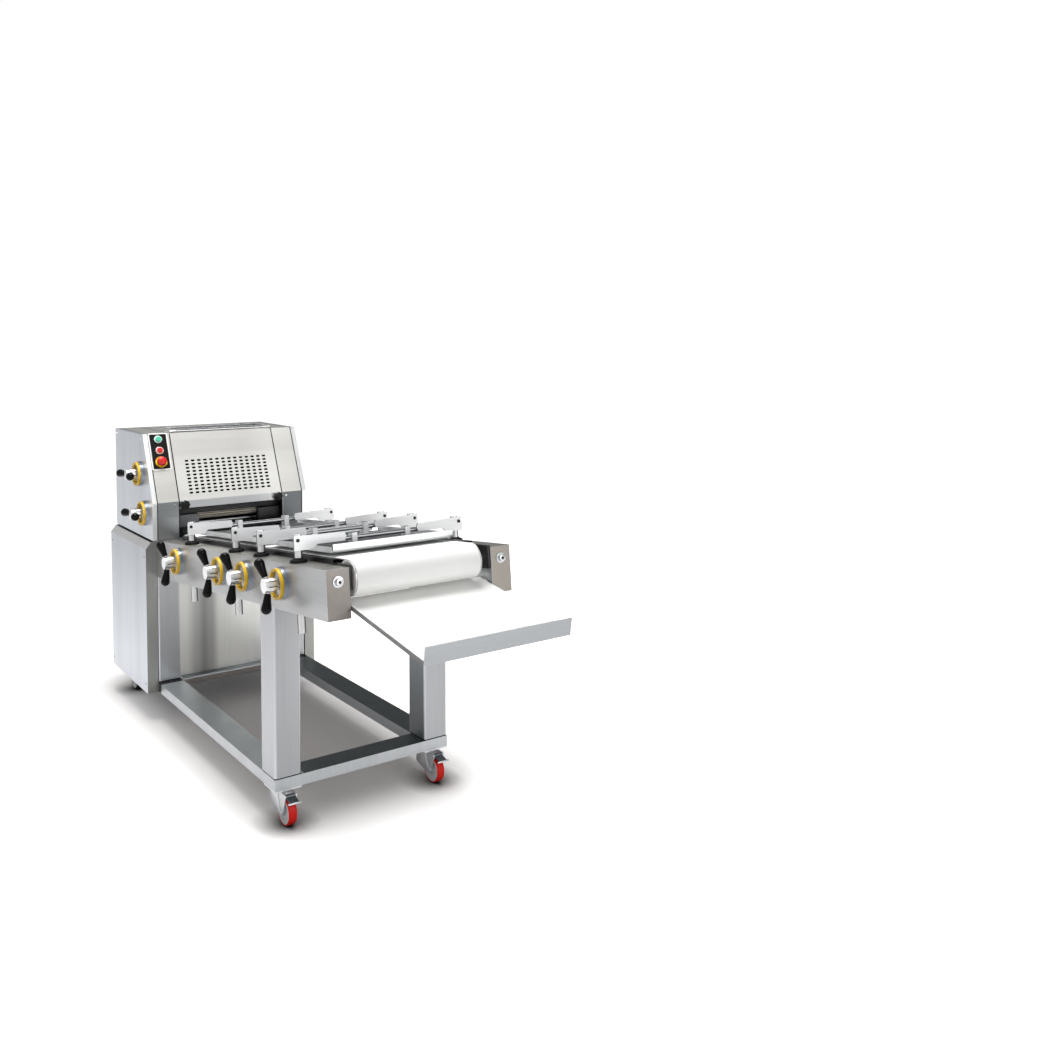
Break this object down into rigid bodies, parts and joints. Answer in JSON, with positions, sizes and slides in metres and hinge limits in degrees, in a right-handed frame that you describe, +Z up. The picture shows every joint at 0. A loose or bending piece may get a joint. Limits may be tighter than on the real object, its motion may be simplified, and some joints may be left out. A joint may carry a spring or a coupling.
{
  "type": "dough moulder",
  "caption": "Floor-standing dough moulder on casters: roller head with slotted guard, tilted belt table with adjustable pressure boards, side handles and a discharge tray.",
  "frame": {"origin": "middle of the machine's outline on the floor", "axes": "+X to the machine's right, +Y from the discharge tray to the roller head, +Z up"},
  "size_m": [0.853, 2.691, 1.283],
  "materials": {
    "stainless_sheet": "brushed",
    "turned_steel": "turned",
    "zinc_plate": "zinc plated",
    "red_tread": "moulded",
    "white_belt": "coated",
    "white_plastic": "matte",
    "black_plastic": "matte",
    "yellow_plastic": "gloss",
    "green_button": "gloss",
    "red_button": "gloss",
    "motor_paint": "satin"
  },
  "bodies": {
    "frame": {"base_frame": "stainless_sheet", "casing_panels": "stainless_sheet", "caster_brackets": "zinc_plate", "left_side_box": "stainless_sheet", "right_side_box": "stainless_sheet", "slider_bed": "stainless_sheet", "conveyor_belt": "white_belt", "drum_shafts": "turned_steel", "post_bushes": "black_plastic", "handle_flanges": "turned_steel", "yellow_rings": "yellow_plastic", "discharge_tray": "white_plastic", "tray_lip": "stainless_sheet", "head_left_side": "stainless_sheet", "head_right_side": "stainless_sheet", "front_fascias": "stainless_sheet", "head_top": "stainless_sheet", "control_plate": "black_plastic", "head_inner_plates": "stainless_sheet", "gearmotor": "motor_paint", "fasteners": "turned_steel"},
    "guard": {"slotted_guard": "stainless_sheet"},
    "guard_knob_left": {"guard_knob_left": "black_plastic"},
    "guard_knob_right": {"guard_knob_right": "black_plastic"},
    "start_button": {"start_button": "green_button"},
    "stop_button": {"stop_button": "red_button"},
    "emergency_button": {"emergency_button": "red_button"},
    "caster_wheel_front_left": {"caster_wheel_front_left": "red_tread"},
    "caster_wheel_front_right": {"caster_wheel_front_right": "red_tread"},
    "caster_wheel_rear_left": {"caster_wheel_rear_left": "red_tread"},
    "caster_wheel_rear_right": {"caster_wheel_rear_right": "red_tread"},
    "brake_pedal_left": {"brake_pedal_left": "zinc_plate"},
    "brake_pedal_right": {"brake_pedal_right": "zinc_plate"},
    "front_board": {"front_board": "stainless_sheet"},
    "rear_board": {"rear_board": "stainless_sheet"},
    "front_board_bushes": {"front_board_bushes": "white_plastic"},
    "rear_board_bushes": {"rear_board_bushes": "white_plastic"},
    "front_drum": {"front_drum": "turned_steel"},
    "rear_drum": {"rear_drum": "turned_steel"},
    "upper_roller": {"upper_roller": "white_plastic"},
    "middle_roller": {"middle_roller": "white_plastic"},
    "lower_roller": {"lower_roller": "white_plastic"},
    "caster_swivel_left": {"caster_fork_left": "zinc_plate"},
    "caster_swivel_right": {"caster_fork_right": "zinc_plate"},
    "front_board_front_lift": {"front_board_front_lift": "turned_steel"},
    "front_board_front_handle": {"front_board_front_handle": "turned_steel", "front_board_front_grips": "black_plastic"},
    "front_board_rear_lift": {"front_board_rear_lift": "turned_steel"},
    "front_board_rear_handle": {"front_board_rear_handle": "turned_steel", "front_board_rear_grips": "black_plastic"},
    "rear_board_front_lift": {"rear_board_front_lift": "turned_steel"},
    "rear_board_front_handle": {"rear_board_front_handle": "turned_steel", "rear_board_front_grips": "black_plastic"},
    "rear_board_rear_lift": {"rear_board_rear_lift": "turned_steel"},
    "rear_board_rear_handle": {"rear_board_rear_handle": "turned_steel", "rear_board_rear_grips": "black_plastic"},
    "upper_gap_handle": {"upper_gap_handle": "turned_steel", "upper_gap_grips": "black_plastic"},
    "lower_gap_handle": {"lower_gap_handle": "turned_steel", "lower_gap_grips": "black_plastic"}
  },
  "joints": [
    {"name": "guard_hinge", "type": "hinge", "parent": "frame", "child": "guard", "pos_m": [0.02847, 0.9163, 1.27464], "axis": [-1, 0, 0], "range_deg": [0, 100]},
    {"name": "guard_knob_left_turn", "type": "hinge", "parent": "guard", "child": "guard_knob_left", "pos_m": [-0.20053, 0.7825, 0.9565], "axis": [0, -1, 0], "continuous": true},
    {"name": "guard_knob_right_turn", "type": "hinge", "parent": "guard", "child": "guard_knob_right", "pos_m": [0.23947, 0.7825, 0.9565], "axis": [0, -1, 0], "continuous": true},
    {"name": "start_push", "type": "slide", "parent": "frame", "child": "start_button", "axis": [0, 0.9159, -0.4013], "range_m": [0, 0.003], "stiffness_N_per_m": 800, "springref_m": -0.001},
    {"name": "stop_push", "type": "slide", "parent": "frame", "child": "stop_button", "axis": [0, 0.9159, -0.4013], "range_m": [0, 0.003], "stiffness_N_per_m": 800, "springref_m": -0.001},
    {"name": "emergency_push", "type": "slide", "parent": "frame", "child": "emergency_button", "axis": [0, 0.9159, -0.4013], "range_m": [0, 0.005], "stiffness_N_per_m": 1500, "springref_m": -0.001},
    {"name": "swivel_left", "type": "hinge", "parent": "frame", "child": "caster_swivel_left", "pos_m": [-0.27153, -0.4345, 0], "axis": [0, 0, 1], "continuous": true},
    {"name": "wheel_front_left_spin", "type": "hinge", "parent": "caster_swivel_left", "child": "caster_wheel_front_left", "pos_m": [-0.27153, -0.4725, 0.05], "axis": [1, 0, 0], "continuous": true},
    {"name": "wheel_rear_left_spin", "type": "hinge", "parent": "frame", "child": "caster_wheel_rear_left", "pos_m": [-0.27153, 1.2955, 0.05], "axis": [1, 0, 0], "continuous": true},
    {"name": "brake_left_press", "type": "hinge", "parent": "caster_swivel_left", "child": "brake_pedal_left", "pos_m": [-0.27153, -0.4965, 0.109], "axis": [1, 0, 0], "range_deg": [0, 15]},
    {"name": "swivel_right", "type": "hinge", "parent": "frame", "child": "caster_swivel_right", "pos_m": [0.32847, -0.4345, 0], "axis": [0, 0, 1], "continuous": true},
    {"name": "wheel_front_right_spin", "type": "hinge", "parent": "caster_swivel_right", "child": "caster_wheel_front_right", "pos_m": [0.32847, -0.4725, 0.05], "axis": [1, 0, 0], "continuous": true},
    {"name": "wheel_rear_right_spin", "type": "hinge", "parent": "frame", "child": "caster_wheel_rear_right", "pos_m": [0.32847, 1.2955, 0.05], "axis": [1, 0, 0], "continuous": true},
    {"name": "brake_right_press", "type": "hinge", "parent": "caster_swivel_right", "child": "brake_pedal_right", "pos_m": [0.32847, -0.4965, 0.109], "axis": [1, 0, 0], "range_deg": [0, 15]},
    {"name": "front_board_front_turn", "type": "hinge", "parent": "frame", "child": "front_board_front_handle", "pos_m": [-0.32153, -0.55894, 0.87096], "axis": [-1, 0, 0], "range_deg": [-6, 43.3]},
    {"name": "front_board_front_rise", "type": "slide", "parent": "frame", "child": "front_board_front_lift", "axis": [0, 0.1002, 0.995], "range_m": [-0.002, 0.015]},
    {"name": "front_board_rear_turn", "type": "hinge", "parent": "frame", "child": "front_board_rear_handle", "pos_m": [-0.32153, -0.24254, 0.8391], "axis": [-1, 0, 0], "range_deg": [-6, 43.3]},
    {"name": "front_board_rear_rise", "type": "slide", "parent": "frame", "child": "front_board_rear_lift", "axis": [0, 0.1002, 0.995], "range_m": [-0.002, 0.015]},
    {"name": "rear_board_front_turn", "type": "hinge", "parent": "frame", "child": "rear_board_front_handle", "pos_m": [-0.32153, 0.00023, 0.81465], "axis": [-1, 0, 0], "range_deg": [-6, 43.3]},
    {"name": "rear_board_front_rise", "type": "slide", "parent": "frame", "child": "rear_board_front_lift", "axis": [0, 0.1002, 0.995], "range_m": [-0.002, 0.015]},
    {"name": "rear_board_rear_turn", "type": "hinge", "parent": "frame", "child": "rear_board_rear_handle", "pos_m": [-0.32153, 0.49473, 0.76486], "axis": [-1, 0, 0], "range_deg": [-6, 43.3]},
    {"name": "rear_board_rear_rise", "type": "slide", "parent": "frame", "child": "rear_board_rear_lift", "axis": [0, 0.1002, 0.995], "range_m": [-0.002, 0.015]},
    {"name": "front_board_bush_turn", "type": "hinge", "parent": "front_board_rear_lift", "child": "front_board_bushes", "pos_m": [0.02847, -0.28434, 0.97597], "axis": [-1, 0, 0], "range_deg": [-2.8, 0.46]},
    {"name": "front_board_tilt", "type": "hinge", "parent": "front_board_bushes", "child": "front_board", "pos_m": [0.02847, -0.28434, 0.97597], "axis": [-1, 0, 0], "range_deg": [-0.46, 2.8]},
    {"name": "rear_board_bush_turn", "type": "hinge", "parent": "rear_board_rear_lift", "child": "rear_board_bushes", "pos_m": [0.02847, 0.45293, 0.90173], "axis": [-1, 0, 0], "range_deg": [-1.83, 0.33]},
    {"name": "rear_board_tilt", "type": "hinge", "parent": "rear_board_bushes", "child": "rear_board", "pos_m": [0.02847, 0.45293, 0.90173], "axis": [-1, 0, 0], "range_deg": [-0.33, 1.83]},
    {"name": "rear_drum_spin", "type": "hinge", "parent": "frame", "child": "rear_drum", "pos_m": [0.02847, 0.70931, 0.7724], "axis": [1, 0, 0], "continuous": true},
    {"name": "front_drum_spin", "type": "hinge", "parent": "frame", "child": "front_drum", "pos_m": [0.02847, -0.85582, 0.93], "axis": [1, 0, 0], "continuous": true},
    {"name": "middle_roller_spin", "type": "hinge", "parent": "frame", "child": "middle_roller", "pos_m": [0.02847, 0.8694, 1.02158], "axis": [1, 0, 0], "continuous": true},
    {"name": "upper_gap_turn", "type": "hinge", "parent": "frame", "child": "upper_gap_handle", "pos_m": [-0.34153, 0.9505, 1.088], "axis": [-1, 0, 0], "range_deg": [-40, 40]},
    {"name": "upper_roller_spin", "type": "hinge", "parent": "upper_gap_handle", "child": "upper_roller", "pos_m": [0.02847, 0.9467, 1.09264], "axis": [1, 0, 0], "continuous": true},
    {"name": "lower_gap_turn", "type": "hinge", "parent": "frame", "child": "lower_gap_handle", "pos_m": [-0.34153, 0.8855, 0.918], "axis": [-1, 0, 0], "range_deg": [-40, 40]},
    {"name": "lower_roller_spin", "type": "hinge", "parent": "lower_gap_handle", "child": "lower_roller", "pos_m": [0.02847, 0.89143, 0.91892], "axis": [1, 0, 0], "continuous": true}
  ],
  "couplings": [
    {"joint": "front_board_front_turn", "follows": "front_board_front_rise", "rad_per_m": 50},
    {"joint": "front_board_rear_turn", "follows": "front_board_rear_rise", "rad_per_m": 50},
    {"joint": "rear_board_front_turn", "follows": "rear_board_front_rise", "rad_per_m": 50},
    {"joint": "rear_board_rear_turn", "follows": "rear_board_rear_rise", "rad_per_m": 50},
    {"joint": "front_board_bush_turn", "follows": "front_board_rear_rise", "rad_per_m": -3.1447},
    {"joint": "front_board_tilt", "follows": "front_board_front_rise", "rad_per_m": 3.1447},
    {"joint": "rear_board_bush_turn", "follows": "rear_board_rear_rise", "rad_per_m": -2.0121},
    {"joint": "rear_board_tilt", "follows": "rear_board_front_rise", "rad_per_m": 2.0121},
    {"joint": "front_drum_spin", "follows": "rear_drum_spin", "ratio": 1},
    {"joint": "upper_roller_spin", "follows": "middle_roller_spin", "ratio": -1},
    {"joint": "lower_roller_spin", "follows": "middle_roller_spin", "ratio": -1}
  ]
}
